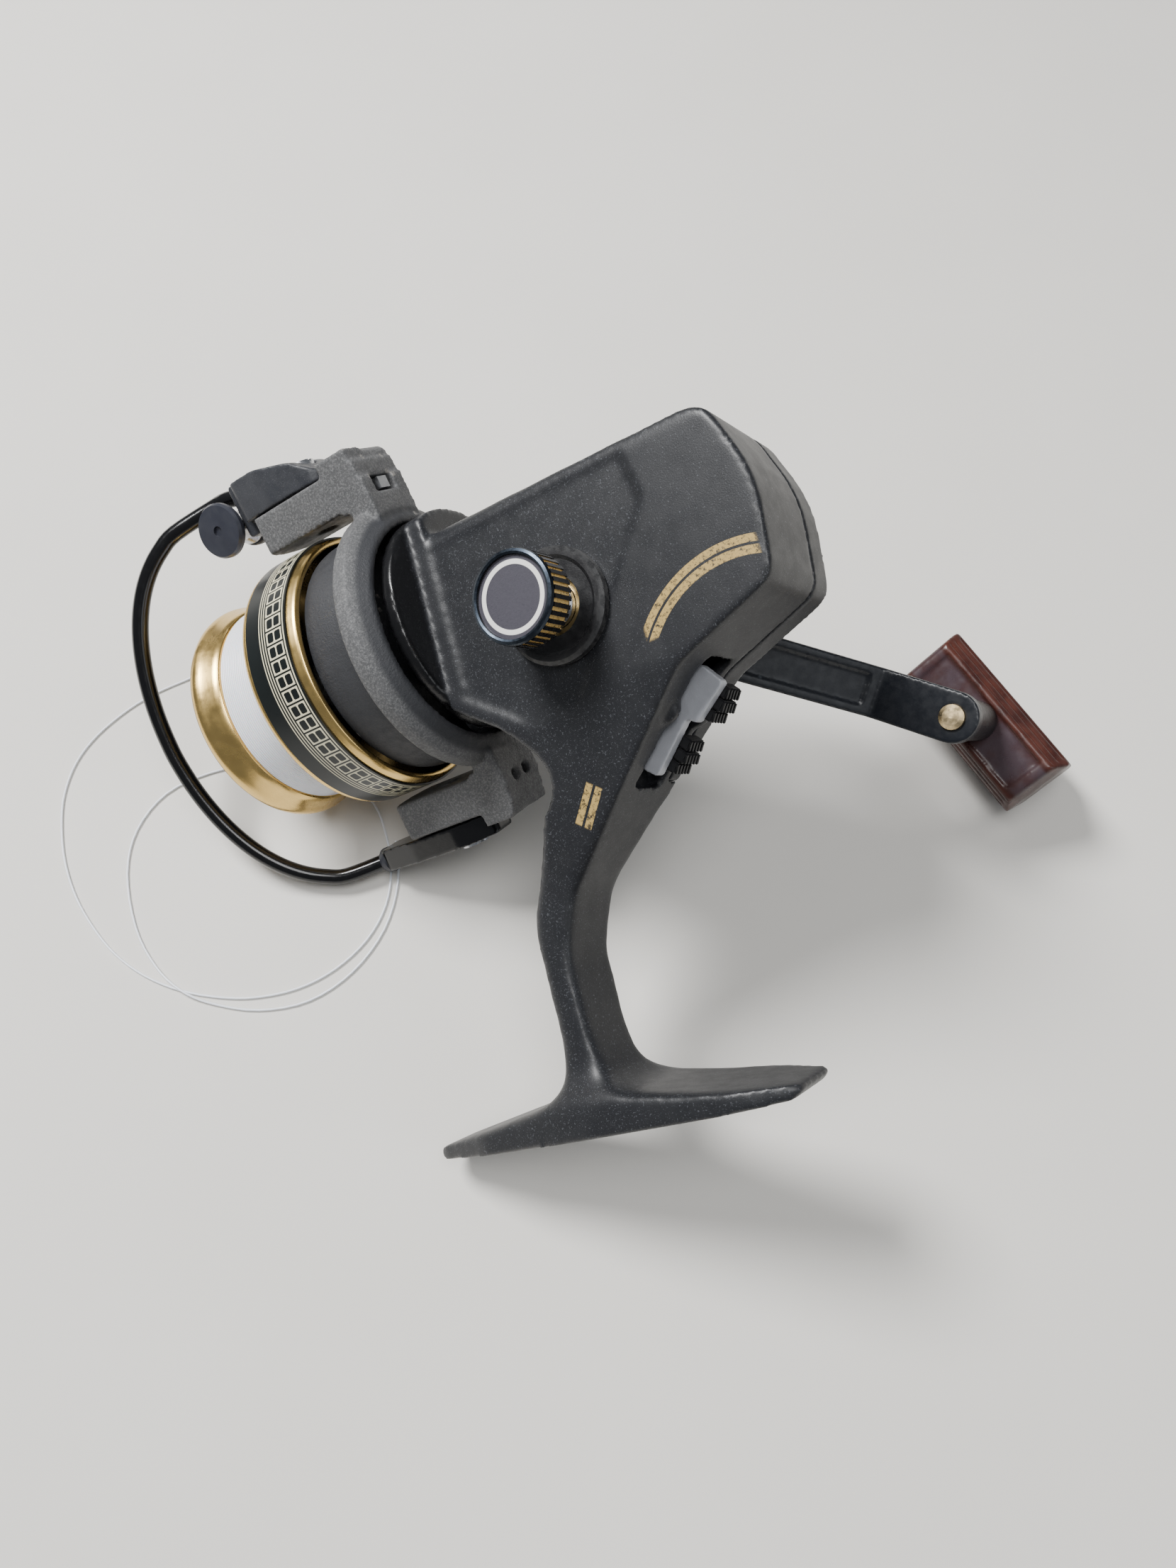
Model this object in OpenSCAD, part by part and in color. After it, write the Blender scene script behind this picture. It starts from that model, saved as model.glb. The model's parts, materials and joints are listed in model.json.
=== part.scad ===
// Small spinning reel, lying on its handle side.
// Every piece is drawn in the reel's own axes, X forward along the main shaft, Y toward
// the handle and Z toward the foot, with the drive axle at the origin. lay_down() then
// puts each piece in the part's frame, +Z up, as the reel rests on flat ground.

/* [Housing] */
// Half of the width of the body across the side faces
body_half = 10; // [9.5:0.1:10.5]
// Distance from the drive axle to the seat of the foot
foot_drop = 67; // [66:0.5:70]
// Length of the foot
foot_len = 60; // [54:1:62]
// Width of the foot at its middle
foot_w = 17; // [14:0.5:18]
// Distance from the drive axle to the main shaft
shaft_drop = 7.5; // [7.5:0.1:8]

/* [Rotor and bail] */
// Outer radius of the rotor's ring
ring_r = 20.3; // [19.8:0.1:20.6]
// Angle that the rotor has turned from the stem's plane
rotor_turn = 19; // [0:1:180]
// Radius of the outer faces of the rotor arms
arm_out = 27; // [26.6:0.1:27.2]
// Width of a rotor arm
arm_w = 10.5; // [9:0.5:11]
// Thickness of the bail wire
bail_d = 2.6; // [2:0.1:3]
// Angle between the closed bail and the main shaft
bail_lean = 30; // [20:1:35]

/* [Spool] */
// Outer radius of the skirt
skirt_r = 20.1; // [19.6:0.1:20.2]
// Outer radius of the front lip
lip_r = 17.8; // [17:0.1:18]
// Radius of the wound line
line_r = 16.1; // [13:0.1:16.4]
// Stroke of the spool along the shaft
stroke = 7.5; // [4:0.5:7.5]

/* [Handle] */
// Crank radius, from the drive axle to the knob's post
crank = 40.5; // [38:0.5:44]
// Angle of the crank arm
crank_turn = 143; // [0:1:360]
// Length of the knob
knob_len = 28; // [26:1:32]
// Thickness of the knob at its shoulders
knob_t = 12.5; // [11:0.5:13]

/* [Free line] */
// Diameter of the fishing line
line_d = 0.4; // [0.3:0.1:0.6]

/* [Hidden] */

// How the reel lies: it has rolled over onto its handle side, its nose is down, and its
// spool points to -X. The last three numbers put its box on the origin.
roll = -109.1;
nose = 34.74;
heading = 180;
lie = [-2.95, 15.44, 47.35];

fit = 0.08;          // running clearance of a bore on its shaft
gap = 0.3;           // clearance between parts that move past each other
wall = 1.6;          // thickness of the housing's walls
seam_y = 5;          // plane where the side cover meets the housing
shaft_r = 1.6;       // main shaft
axle_r = 3;          // drive axle
screw_r = 1.5;       // screw inside the drive axle
sleeve_r = 2.9;      // pinion sleeve
flange_x = [20.4, 22.6];  // faces of the housing's round front flange
flange_r = 16.3;
ring_x = 23.1;       // rear rim of the rotor
pivot_x = 36.5;      // bail pivots
trip_x = 30;         // pin of the trip lever
spool_x = 35.8;      // rear rim of the spool's skirt
band_x = 37.2;       // rear edge of the skirt's printed band
big = 200;
cover_screw_at = [[-23.5, -11.5], [13.8, -13.6], [-21.8, 4.4]];  // X and Z
plate_screw_turns = [60, 180, 300];
plate_screw_out = 9;
lever_at = [-8, 16.4];       // pivot of the anti-reverse lever, X and Z
pawl_z = 6.5;                // axis of the pawl's shaft
throw = stroke / 2;          // crank pin of the oscillation gear
gear_at = [-11.6, 3];        // oscillation gear, X and Z
slot_x = gear_at[0] + throw; // slider's slot, with the spool fully forward
swing_y = 38.8;              // inner face of the crank arm, outside the open bail's swing
arm_t = 2.8;                 // thickness of the crank arm
knob_y = 55;                 // inner face of the knob
knob_deep = 18;              // from its inner face to its outer end
knob_turn = 32;              // knob's own turn on its post

// Outline of the body, stem included, in X and Z, with the radius of each corner.
body_path = [[21, -18.2, 3], [-26.3, -16.2, 4], [-30.2, -5, 20], [-28.6, 7.6, 3.5],
    [-13.6, 13.2, 8], [-1, 24.3, 8], [12, 36, 8], [15.4, 43.5, 8], [15.6, 60, 1],
    [20.4, 60, 1], [19.8, 38, 9], [12.4, 25.2, 9], [7.2, 20.4, 5], [13.5, 12.2, 9],
    [21, 6.8, 3]];
// Outline of the body seen from its front, in Y and Z.
front_path = [[-10, -19, 4], [10, -19, 4], [10, 12, 12], [6, 34, 12], [5.6, 61, 1],
    [-5.6, 61, 1], [-6, 34, 12], [-10, 12, 12]];
cavity_path = [[18.4, -16.4, 2], [-25, -14.5, 2], [-28.4, -5, 14], [-26.9, 6.3, 2],
    [-12.6, 11.6, 6], [-4, 18.6, 4], [5, 18.6, 4], [12, 10.6, 8], [18.4, 5.6, 2]];

// Corner k of a closed outline, as an arc of its own radius.
function corner(path, k, steps) =
    let (n = len(path), p = path[k], a = path[(k + n - 1) % n], b = path[(k + 1) % n])
    let (o = [p[0], p[1]], u = [a[0] - p[0], a[1] - p[1]], v = [b[0] - p[0], b[1] - p[1]])
    let (eu = u / norm(u), ev = v / norm(v), half = acos(max(-1, min(1, eu * ev))) / 2)
    let (mid = (eu + ev) / norm(eu + ev), c = o + mid * p[2] / sin(half))
    let (t0 = o + eu * p[2] / tan(half) - c, t1 = o + ev * p[2] / tan(half) - c)
    let (a0 = atan2(t0[1], t0[0]), turn = atan2(t1[1], t1[0]) - a0)
    let (sweep = turn > 180 ? turn - 360 : (turn < -180 ? turn + 360 : turn))
    [for (s = [0 : steps]) c + p[2] * [cos(a0 + sweep * s / steps), sin(a0 + sweep * s / steps)]];
function rounded(path, steps = 4) = [for (k = [0 : len(path) - 1]) each corner(path, k, steps)];

module lay_down() translate(lie) rotate([roll, nose, heading]) children();
// A shape turned about the main shaft, from points of radius and X.
module turned(points) translate([0, 0, -shaft_drop]) rotate([0, 90, 0])
    rotate_extrude($fn = 96) polygon(points);
// The same about the drive axle, from points of radius and Y.
module cross(points) rotate([-90, 0, 0]) rotate_extrude($fn = 72) polygon(points);
module tube(r0, r1, a, b) turned([[r0, a], [r1, a], [r1, b], [r0, b]]);
module cross_tube(r0, r1, a, b) cross([[r0, a], [r1, a], [r1, b], [r0, b]]);
module rod(r, a, b, at = [0, 0]) translate([a, at[0], at[1]]) rotate([0, 90, 0])
    cylinder(h = b - a, r = r, $fn = 48);
module cross_rod(r, a, b, at = [0, 0]) translate([at[0], a, at[1]]) rotate([-90, 0, 0])
    cylinder(h = b - a, r = r, $fn = 48);
// An outline in X and Z, drawn between two planes of Y.
module slab(a, b) translate([0, b, 0]) rotate([90, 0, 0]) linear_extrude(b - a) children();
// Local axes of a rotor arm: Z outward along the arm's radius, X forward, Y to the side
// that the bail leans to.
module arm_frame(side = 0) translate([0, 0, -shaft_drop])
    rotate([180 - rotor_turn + 180 * side, 0, 0]) children();
// A ring of teeth, drawn as a flat star.
module star(r0, r1, n) {
    root = 1.1 * PI * r0 / n;
    tip = 0.45 * PI * r1 / n;
    for (k = [0 : n - 1]) rotate(k * 360 / n)
        polygon([[r0, -root], [r1, -tip], [r1, tip], [r0, root]]);
}

// ---- housing -------------------------------------------------------------------------
module body_solid() intersection() {
    slab(-body_half, body_half) polygon(rounded(body_path));
    translate([-big / 2, 0, 0]) rotate([90, 0, 90]) linear_extrude(big) polygon(rounded(front_path));
}
module foot() {
    seat = foot_drop;
    x0 = -12;
    x1 = x0 + foot_len;
    half = foot_w / 2;
    plan = [[x0, -5, 1.5], [x0 + 8, -half + 0.6, 8], [18, -half, 40], [x1 - 12, -half + 1.5, 12],
        [x1, -3.6, 4], [x1, 3.6, 4], [x1 - 12, half - 1.5, 12], [18, half, 40],
        [x0 + 8, half - 0.6, 8], [x0, 5, 1.5]];
    side = [[x0, seat - 1, 0.3], [x0 + 1.6, seat, 0.3], [x1 - 2, seat, 0.8], [x1, seat - 1, 0.4],
        [x1 - 2, seat - 1.9, 1], [32, seat - 3.8, 30], [21.2, seat - 5.6, 5], [20, seat - 16, 1],
        [16, seat - 16, 1], [14.4, seat - 5.6, 5.5], [3, seat - 3.6, 30],
        [x0 + 0.4, seat - 1.8, 0.3]];
    flare = [[-5.2, seat - 17, 1], [-5.8, seat - 6, 5], [-half - 1, seat - 4.8, 1],
        [-half - 1, seat + 1, 1], [half + 1, seat + 1, 1], [half + 1, seat - 4.8, 1],
        [5.8, seat - 6, 5], [5.2, seat - 17, 1]];
    intersection() {
        linear_extrude(big) polygon(rounded(plan));
        slab(-big / 2, big / 2) polygon(rounded(side, 8));
        translate([-big / 2, 0, 0]) rotate([90, 0, 90]) linear_extrude(big)
            polygon(rounded(flare, 8));
    }
}
module cover_region(a, b) slab(a, b) polygon([[-big, -big], [big, -big], [big, 8], [9, 21],
    [9, 24], [-9, 24], [-big, 24]]);
module housing() color("#34363a") lay_down() difference() {
    union() {
        difference() {
            body_solid();
            cover_region(seam_y, big);
            slab(-body_half + wall, seam_y + 1) polygon(rounded(cavity_path));
            // the front panel stands a little below the rear one
            slab(-body_half - 1, -body_half + 0.35) polygon([[19, -15.8], [-14.3, -15.2],
                [-15.4, -8.2], [-5.8, 4], [-1.4, 10], [4.4, 18], [11, 11.4], [19, 5.6]]);
        }
        foot();
        tube(sleeve_r + 4.6, flange_r, flange_x[0], flange_x[1]);
        tube(6.5, 8.2, 14.2, flange_x[0] + 1);
        intersection() {
            tube(9, flange_r, 17.6, flange_x[0] + 1);
            slab(-body_half, seam_y) square([60, 60], center = true);
        }
        cross_tube(axle_r + 1, 6.2, -body_half - 0.6, -6.9);
        // boss for the oscillation gear's post and for the anti-reverse shaft
        cross_rod(2.6, -body_half + 1, -7.2, gear_at);
        translate([6, -body_half + 1, pawl_z - 1.3]) cube([4, body_half + 1, 2.6]);
        // ears for the lever's pin
        for (y = [-5.6, 3.4]) cross_rod(2.4, y, y + 1.6, lever_at);
        // posts for the cover's screws
        for (p = cover_screw_at) cross_rod(2.3, -body_half + 1, seam_y, p);
    }
    turned([[0, 0], [6.5, 0], [6.5, 25], [0, 25]]);
    cross_rod(axle_r + 1, -big, 0);
    rod(1.05, 5, 30, [0, pawl_z]);
    for (p = cover_screw_at) cross_rod(0.9, -4, seam_y + 1, p);
    cross_rod(1.3, -body_half + 1.1, 0, gear_at);
    // slot for the anti-reverse lever and its pin
    slab(-3.6, 3.1) polygon([[-15.6, 8], [-15.6, 14.6], [-4.4, 24.6], [0.6, 24.6], [0.6, 19],
        [-7, 8]]);
    cross_rod(0.8, -5.6, seam_y, lever_at);
    // screws of the bearing plate
    for (a = plate_screw_turns) translate([0, 0, -shaft_drop]) rotate([a, 0, 0])
        rod(0.7, 15, 30, [0, plate_screw_out]);
}
module side_cover() color("#34363a") lay_down() difference() {
    union() {
        intersection() {
            difference() {
                body_solid();
                slab(seam_y - 1, body_half - wall) polygon(rounded(cavity_path));
                turned([[0, 0], [flange_r, 0], [flange_r, big], [0, big]]);
            }
            cover_region(seam_y + 0.01, big);
        }
        intersection() {
            difference() {
                body_solid();
                slab(seam_y - 1, body_half - wall) polygon(rounded(cavity_path));
            }
            cover_region(seam_y + 0.01, big);
            translate([-big + flange_x[0] - 0.02, -big / 2, -big / 2]) cube([big, big, big]);
        }
        cross_tube(axle_r + 1, 6.4, 7.6, body_half + 1.6);
    }
    cross_rod(axle_r + 1, 0, big);
    // round the main bearing's seat
    turned([[0, 10], [8.25, 10], [8.25, big], [0, big]]);
    for (p = cover_screw_at) {
        cross_rod(1.1, 0, big, p);
        cross_rod(2.1, body_half - 0.7, big, p);
    }
}
module cover_screws() color("silver") lay_down()
    for (p = cover_screw_at) difference() {
        union() {
            cross_rod(0.88, -3, body_half - 0.6, p);
            cross_rod(2, body_half - 0.68, body_half + 0.2, p);
        }
        translate([p[0], body_half + 0.2, p[1]]) cube([3, 0.9, 0.6], center = true);
    }
module bearing_collar() color("#1c1d1f") lay_down() cross([[axle_r + 1.02, -body_half - 0.62],
    [6.25, -body_half - 0.62], [6.25, -body_half - 0.02], [7.7, -body_half - 0.02],
    [7.7, -body_half - 1.1], [7.2, -body_half - 1.6], [6.5, -body_half - 1.6],
    [6, -body_half - 1.2], [axle_r + 1.02, -body_half - 1.2]]);
module near_bush() color("#b9975b") lay_down()
    cross_tube(axle_r + fit, axle_r + 0.98, -body_half - 0.4, -7.2);
module far_bush() color("#b9975b") lay_down()
    cross_tube(axle_r + fit, axle_r + 0.98, 7.7, body_half + 1.4);
module main_bearing() color("silver") lay_down() {
    difference() {
        tube(sleeve_r + fit, 6.48, 15.5, 20.2);
        turned([[4.1, 15], [5.4, 15], [5.4, 21], [4.1, 21]]);
    }
    turned([[4.12, 16.2], [5.38, 16.2], [5.38, 16.5], [4.12, 16.5]]);
    turned([[4.12, 19.2], [5.38, 19.2], [5.38, 19.5], [4.12, 19.5]]);
    for (k = [0 : 6]) translate([17.85, 0, -shaft_drop]) rotate([k * 360 / 7, 0, 0])
        translate([0, 4.75, 0]) sphere(r = 0.75, $fn = 24);
}
module bearing_plate() color("#8c8f94") lay_down() difference() {
    tube(4, 10.2, flange_x[1] + 0.02, flange_x[1] + 0.62);
    for (a = plate_screw_turns) translate([0, 0, -shaft_drop]) rotate([a, 0, 0])
        rod(0.75, 20, 30, [0, plate_screw_out]);
}
module plate_screws() color("silver") lay_down()
    for (a = plate_screw_turns) translate([0, 0, -shaft_drop]) rotate([a, 0, 0]) {
        rod(0.68, flange_x[0] + 0.2, 23.4, [0, plate_screw_out]);
        rod(1, 23.24, 23.84, [0, plate_screw_out]);
    }

// ---- drive ---------------------------------------------------------------------------
module drive_gear() color("#c8cacd") lay_down() {
    cross_tube(axle_r, 13.2, 5.4, 7);
    cross_tube(axle_r, 4.8, -4.2, 5.4);
    rotate([-90, 0, 0]) translate([0, 0, 4]) linear_extrude(1.41) difference() {
        union() {
            circle(r = 10.9, $fn = 72);
            star(10.8, 13.1, 41);
        }
        circle(r = 10.5, $fn = 72);
    }
    rotate([-90, 0, 0]) translate([0, 0, -6.4]) linear_extrude(2.2) difference() {
        union() {
            circle(r = 3.7, $fn = 48);
            star(3.6, 4.3, 12);
        }
        circle(r = axle_r, $fn = 48);
    }
}
module drive_axle() color("#9a9da2") lay_down() cross_tube(screw_r, axle_r, -11.2, 14);
module axle_screw() color("#9a9da2") lay_down() {
    cross_rod(screw_r - 0.02, -15, 15.4);
    cross_rod(2.5, -15.6, -11.3);
}
// Screw cap with a ribbed grip: the ribs are a ring of their own, stacked in the lathed body.
module handle_cap() color("#17181a") lay_down() {
    cross([[2.52, -14.4], [5.6, -16], [5.7, -16.2], [5.5, -16.2], [5.5, -19.8], [5.7, -19.8],
        [5.7, -20], [5.5, -20.3], [5.2, -20.3], [5.2, -19.6], [0, -19.6], [0, -15.62],
        [2.52, -15.62]]);
    rotate([-90, 0, 0]) translate([0, 0, -19.8]) linear_extrude(3.6) difference() {
        union() {
            circle(r = 5.7, $fn = 72);
            for (k = [0 : 35]) rotate(k * 10) translate([5.4, -0.28]) square([0.6, 0.56]);
        }
        circle(r = 5.3, $fn = 72);
    }
}
module cap_rim() color("#b08d3c") lay_down() cross([[5.52, -20.32], [5.75, -20.1],
    [5.75, -20.02], [5.98, -20.02], [5.85, -20.45], [5.5, -20.6], [5.22, -20.5],
    [5.22, -20.32]]);
module cap_disc() color("#6d6e76") lay_down()
    cross([[0, -19.62], [5.18, -19.62], [5.18, -20.1], [0, -20.1]]);

// ---- handle --------------------------------------------------------------------------
module crank_frame() rotate([0, -crank_turn, 0]) children();
module handle_arm() color("#1b1c1f") lay_down() crank_frame() difference() {
    out = swing_y + arm_t;
    union() {
        cross([[0, 11.8], [4.6, 11.8], [4.9, 12.2], [4.9, 18.4], [4.3, 19], [0, 19]]);
        translate([0, 0, -3.95]) linear_extrude(7.9) polygon([[0, 15], [5, 15.5], [9, 17.5],
            [19, 28.6], [28.4, swing_y], [crank, swing_y], [crank, out], [27.2, out],
            [17.4, 31], [8, 20.6], [4.5, 19], [0, 19]]);
        cross_rod(3.95, swing_y, out, [crank, 0]);
    }
    cross_tube(0, axle_r, 10, 14.02);
    cross_rod(screw_r, 10, 15.5);
    cross_rod(1.6 + fit, swing_y - 1, out + 1, [crank, 0]);
    // shallow panel along the face that looks at the body
    translate([0, 0, -2.5]) linear_extrude(5) polygon([[11.8, 19], [19.8, 27.9], [28, 36.8],
        [26.9, 37.8], [18.7, 28.9], [10.7, 20]]);
}
// Post of the knob: riveted over at the inner face of the arm.
module knob_rivet() color("#c9a766") lay_down() crank_frame() translate([crank, 0, 0]) {
    translate([0, swing_y, 0]) cross([[0, -1], [1.3, -0.9], [1.9, -0.5], [1.95, -0.04], [0, -0.04]]);
    cross_rod(1.6, swing_y - 0.1, knob_y + 15);
    cross_rod(2.2, knob_y + 14.5, knob_y + 15.5);
}
module knob_collar() color("#141416") lay_down() crank_frame() translate([crank, 0, 0])
    cross([[1.6 + fit, swing_y + arm_t + 0.1], [3.3, swing_y + arm_t + 0.1],
        [3.5, swing_y + arm_t + 0.5], [3.2, knob_y - 0.1], [1.6 + fit, knob_y - 0.1]]);
// Knob: a paddle on its post. Its long sides flare from the inner face to their shoulders
// and then taper to the outer end.
module handle_knob() color("#3f1a18") lay_down() crank_frame() translate([crank, knob_y, 0])
    rotate([0, knob_turn, 0]) difference() {
        half = knob_len / 2;
        thick = knob_t / 2;
        intersection() {
            translate([0, 0, -thick]) linear_extrude(knob_t) polygon(rounded([[-half + 0.8, 0, 1],
                [half - 0.8, 0, 1], [half, 3.4, 2], [half - 0.8, knob_deep, 4],
                [-half + 0.8, knob_deep, 4], [-half, 3.4, 2]]));
            rotate([0, 90, 0]) translate([0, 0, -big / 2]) linear_extrude(big)
                polygon(rounded([[-4.1, 0, 0.5], [4.1, 0, 0.5], [thick, 3.7, 1.2],
                    [4.6, knob_deep, 2.6], [-4.6, knob_deep, 2.6], [-thick, 3.7, 1.2]]));
        }
        cross_rod(1.6 + fit, -5, knob_deep - 3.6);
        cross_rod(2.3, knob_deep - 3.6, 40);
        // long panel in the inner face
        translate([-half + 2.6, -1, -3.2]) cube([knob_len - 5.2, 1.45, 6.4]);
    }

// ---- spool movement ------------------------------------------------------------------
module gear_post() color("silver") lay_down() cross_rod(1.28, -body_half + 1.12, -3.4, gear_at);
module oscillation_gear() color("#d8d2c0") lay_down() translate([gear_at[0], 0, gear_at[1]]) {
    rotate([-90, 0, 0]) translate([0, 0, -6.2]) linear_extrude(1.8) difference() {
        union() {
            circle(r = 6.7, $fn = 60);
            star(6.6, 7.3, 22);
        }
        circle(r = 1.28 + fit, $fn = 48);
    }
    cross_rod(0.9, -4.45, -3.2, [throw, 0]);
}
// Slider: a block clamped on the main shaft, with a slotted plate for the crank pin.
module slider() color("#8b8e93") lay_down() translate([slot_x, 0, 0]) difference() {
    union() {
        translate([-4.4, -2.6, -11]) cube([6.8, 5.2, 7.2]);
        translate([-2.6, -2.6, -4]) cube([5, 1.8, 12.7]);
    }
    rod(shaft_r, -20, 20, [0, -shaft_drop]);
    translate([-1.1, -4, -1.6]) cube([2.2, 4, 9.5]);
    translate([-2.4, 0, -12]) cylinder(h = 4, r = 0.9, $fn = 32);
}
module slider_screw() color("silver") lay_down() translate([slot_x - 2.4, 0, 0]) {
    translate([0, 0, -11.9]) cylinder(h = 2.7, r = 0.88, $fn = 32);
    translate([0, 0, -12.4]) cylinder(h = 1.3, r = 1.5, $fn = 32);
}
module main_shaft() color("#c3c5c8") lay_down() rod(shaft_r, -12.8, 63.4, [0, -shaft_drop]);

// ---- anti-reverse --------------------------------------------------------------------
module reverse_lever() color("#a9abb0") lay_down() difference() {
    slab(-3, -1.2) polygon(rounded([[-13.8, 12.4, 0.5], [-16.1, 15.6, 0.5], [-11, 19.4, 0.5],
        [-9.8, 18.4, 0.5], [-3.6, 24.2, 0.5], [-1.8, 22.6, 0.5], [-6.4, 15, 1.5],
        [-5.6, 9.4, 0.5], [-7.4, 9.2, 0.5], [-9.8, 13.2, 1]]));
    cross_rod(0.8 + fit, -5, 5, lever_at);
}
module lever_pin() color("silver") lay_down() cross_rod(0.78, -5.5, seam_y - 0.1, lever_at);
module thumb_pads() color("#101012") lay_down() for (p = [[-13.9, 17.9], [-6.9, 22.6]])
    for (k = [-1.5 : 1 : 1.5]) translate([p[0], 0, p[1]]) rotate([0, -40, 0])
        translate([k * 1.35 - 0.6, -1.18, -1.6]) cube([1.2, 4.1, 2.2 - 0.2 * abs(k)]);
module pawl_shaft() color("silver") lay_down() {
    rod(1.05 - fit, 0.5, 24.6, [0, pawl_z]);
    translate([0.6, -0.5, pawl_z + 0.4]) cube([1.2, 1, 1.8]);
}
// Pawl: its finger stands just clear of the ratchet's teeth.
module pawl() color("#8b8e93") lay_down() translate([23.3, 0, pawl_z]) difference() {
    union() {
        rod(1.75, 0, 1.3);
        translate([0, 0.3, -5.9]) cube([1.3, 1.4, 5.4]);
    }
    rod(1.05 - fit, -1, 2);
}
module pawl_spring() color("silver") lay_down() for (k = [0 : 3])
    translate([10.4 + k * 0.55, 0, pawl_z]) rotate([0, 90, 0]) rotate_extrude($fn = 32)
        translate([1.4, 0]) circle(r = 0.2, $fn = 16);

// ---- rotor ---------------------------------------------------------------------------
module ratchet() color("#9a9da2") lay_down() translate([0, 0, -shaft_drop]) rotate([0, 90, 0])
    translate([0, 0, 23.5]) linear_extrude(1.2) difference() {
        union() {
            circle(r = 6.6, $fn = 60);
            star(6.4, 7.6, 10);
        }
        circle(r = sleeve_r, $fn = 48);
    }
module pinion() color("#c9a766") lay_down() difference() {
    union() {
        tube(shaft_r + fit, sleeve_r, 5.6, 36.1);
        translate([5.6, 0, -shaft_drop]) rotate([0, 90, 0]) linear_extrude(7.4) difference() {
            star(2.7, 3.7, 8);
            circle(r = shaft_r + fit, $fn = 48);
        }
    }
    for (s = [-1, 1]) translate([29, s * 3.4 - 0.9, -shaft_drop - 4]) cube([5, 1.8, 8]);
}
module rotor_nut() color("silver") lay_down() difference() {
    translate([33.62, 0, -shaft_drop]) rotate([0, 90, 0]) cylinder(h = 2.5, r = 5.2, $fn = 6);
    rod(sleeve_r, 30, 40, [0, -shaft_drop]);
}
// The cup: rear rim, ring, tapered drum and front wall.
module rotor_cup() turned([[16.6, ring_x], [17.6, ring_x], [ring_r, 25.4], [ring_r, 27.6],
    [19.6, 28], [18.2, 28.2], [18.1, 34.4], [17.8, 35.8], [17.2, 36.3], [6.4, 36.3],
    [6.4, 33.6], [sleeve_r, 33.6], [sleeve_r, 29], [6, 29], [6, 31.6], [14.4, 33.2],
    [16.3, 32]]);
// One arm: a web from the ring, then the arm itself with a round end about the pivot.
module rotor_arm() {
    half = arm_w / 2;
    swing_r = 7;
    inner = skirt_r + 1.1;
    difference() {
        union() {
            translate([ring_x + 0.4, -half, 17.4]) cube([4.4, arm_w, arm_out - 20]);
            translate([ring_x + 1.2, -half, inner - 0.6]) cube([5, arm_w, arm_out - inner + 0.6]);
            intersection() {
                translate([ring_x + 0.8, -half, inner])
                    cube([pivot_x - ring_x + 9, arm_w, arm_out - inner]);
                union() {
                    translate([0, -half, 0]) cube([pivot_x, arm_w, 60]);
                    translate([pivot_x, 0, 0]) cylinder(h = 60, r = 9.3, $fn = 72);
                }
            }
            // raised block that shields the rear of the bail's arm or end
            translate([ring_x + 1.2, -half, arm_out - 1]) cube([5.8, arm_w, 3]);
        }
        translate([pivot_x, 0, arm_out]) cylinder(h = 9, r = swing_r, $fn = 72);
        rotate([0, 90, 0]) cylinder(h = 60, r = 17, $fn = 72);
        // bevelled rear edge and the pocket behind it
        translate([ring_x - 1, -half - 1, arm_out + 3.2]) rotate([0, 45, 0])
            cube([6, arm_w + 4, 6], center = true);
        for (t = [-1.6, 1.6]) translate([ring_x - 1, t, 23.4]) rotate([0, 90, 0])
            cylinder(h = 3.6, r = 0.9, $fn = 24);
        translate([pivot_x, 0, 0]) cylinder(h = 60, r = 1.5, $fn = 48);
    }
}
module rotor() color("#4a4c50") lay_down() difference() {
    union() {
        rotor_cup();
        for (s = [0, 1]) arm_frame(s) rotor_arm();
    }
    // pocket for the trip lever in the first arm, and its pin
    arm_frame(0) {
        translate([ring_x - 1, -2.6, 22]) cube([12.4, 5.2, 2.4]);
        translate([trip_x, 0, 21.4]) cylinder(h = 4.2, r = 0.7, $fn = 32);
    }
    // recess for the bail spring
    arm_frame(0) translate([pivot_x, 0, arm_out - 1.2]) cylinder(h = 4, r = 4.4, $fn = 60);
}
module bail_spring() color("silver") lay_down() arm_frame(0) for (k = [0, 1])
    translate([pivot_x, 0, arm_out - 0.86 + k * 0.52]) rotate_extrude($fn = 48)
        translate([3.6, 0]) circle(r = 0.25, $fn = 16);
module pivot_screws() color("#b8bbc0") lay_down() arm_frame(0) for (s = [0, 1])
    rotate([180 * s, 0, 0]) translate([pivot_x, 0, 0]) difference() {
        union() {
            translate([0, 0, 22]) cylinder(h = 9, r = 1.48, $fn = 48);
            translate([0, 0, 30.5]) cylinder(h = 1, r = 2.6, $fn = 48);
        }
        translate([0, 0, 31.5]) cube([6, 0.7, 0.9], center = true);
    }
module trip_lever() color("#2a2b2e") lay_down() arm_frame(0) difference() {
    translate([ring_x + 0.6, -1.1, 22.35]) cube([9, 2.2, 1.7]);
    translate([trip_x, 0, 20]) cylinder(h = 6, r = 0.68 + fit, $fn = 32);
}
module trip_pin() color("silver") lay_down() arm_frame(0)
    translate([trip_x, 0, 21.42]) cylinder(h = 4.1, r = 0.68, $fn = 32);

// ---- bail ----------------------------------------------------------------------------
bail_top = arm_out + gap;
roller_at = [pivot_x + 15.4, 28.4];
hood_x = 48.4;
wire_in = 32;
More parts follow.
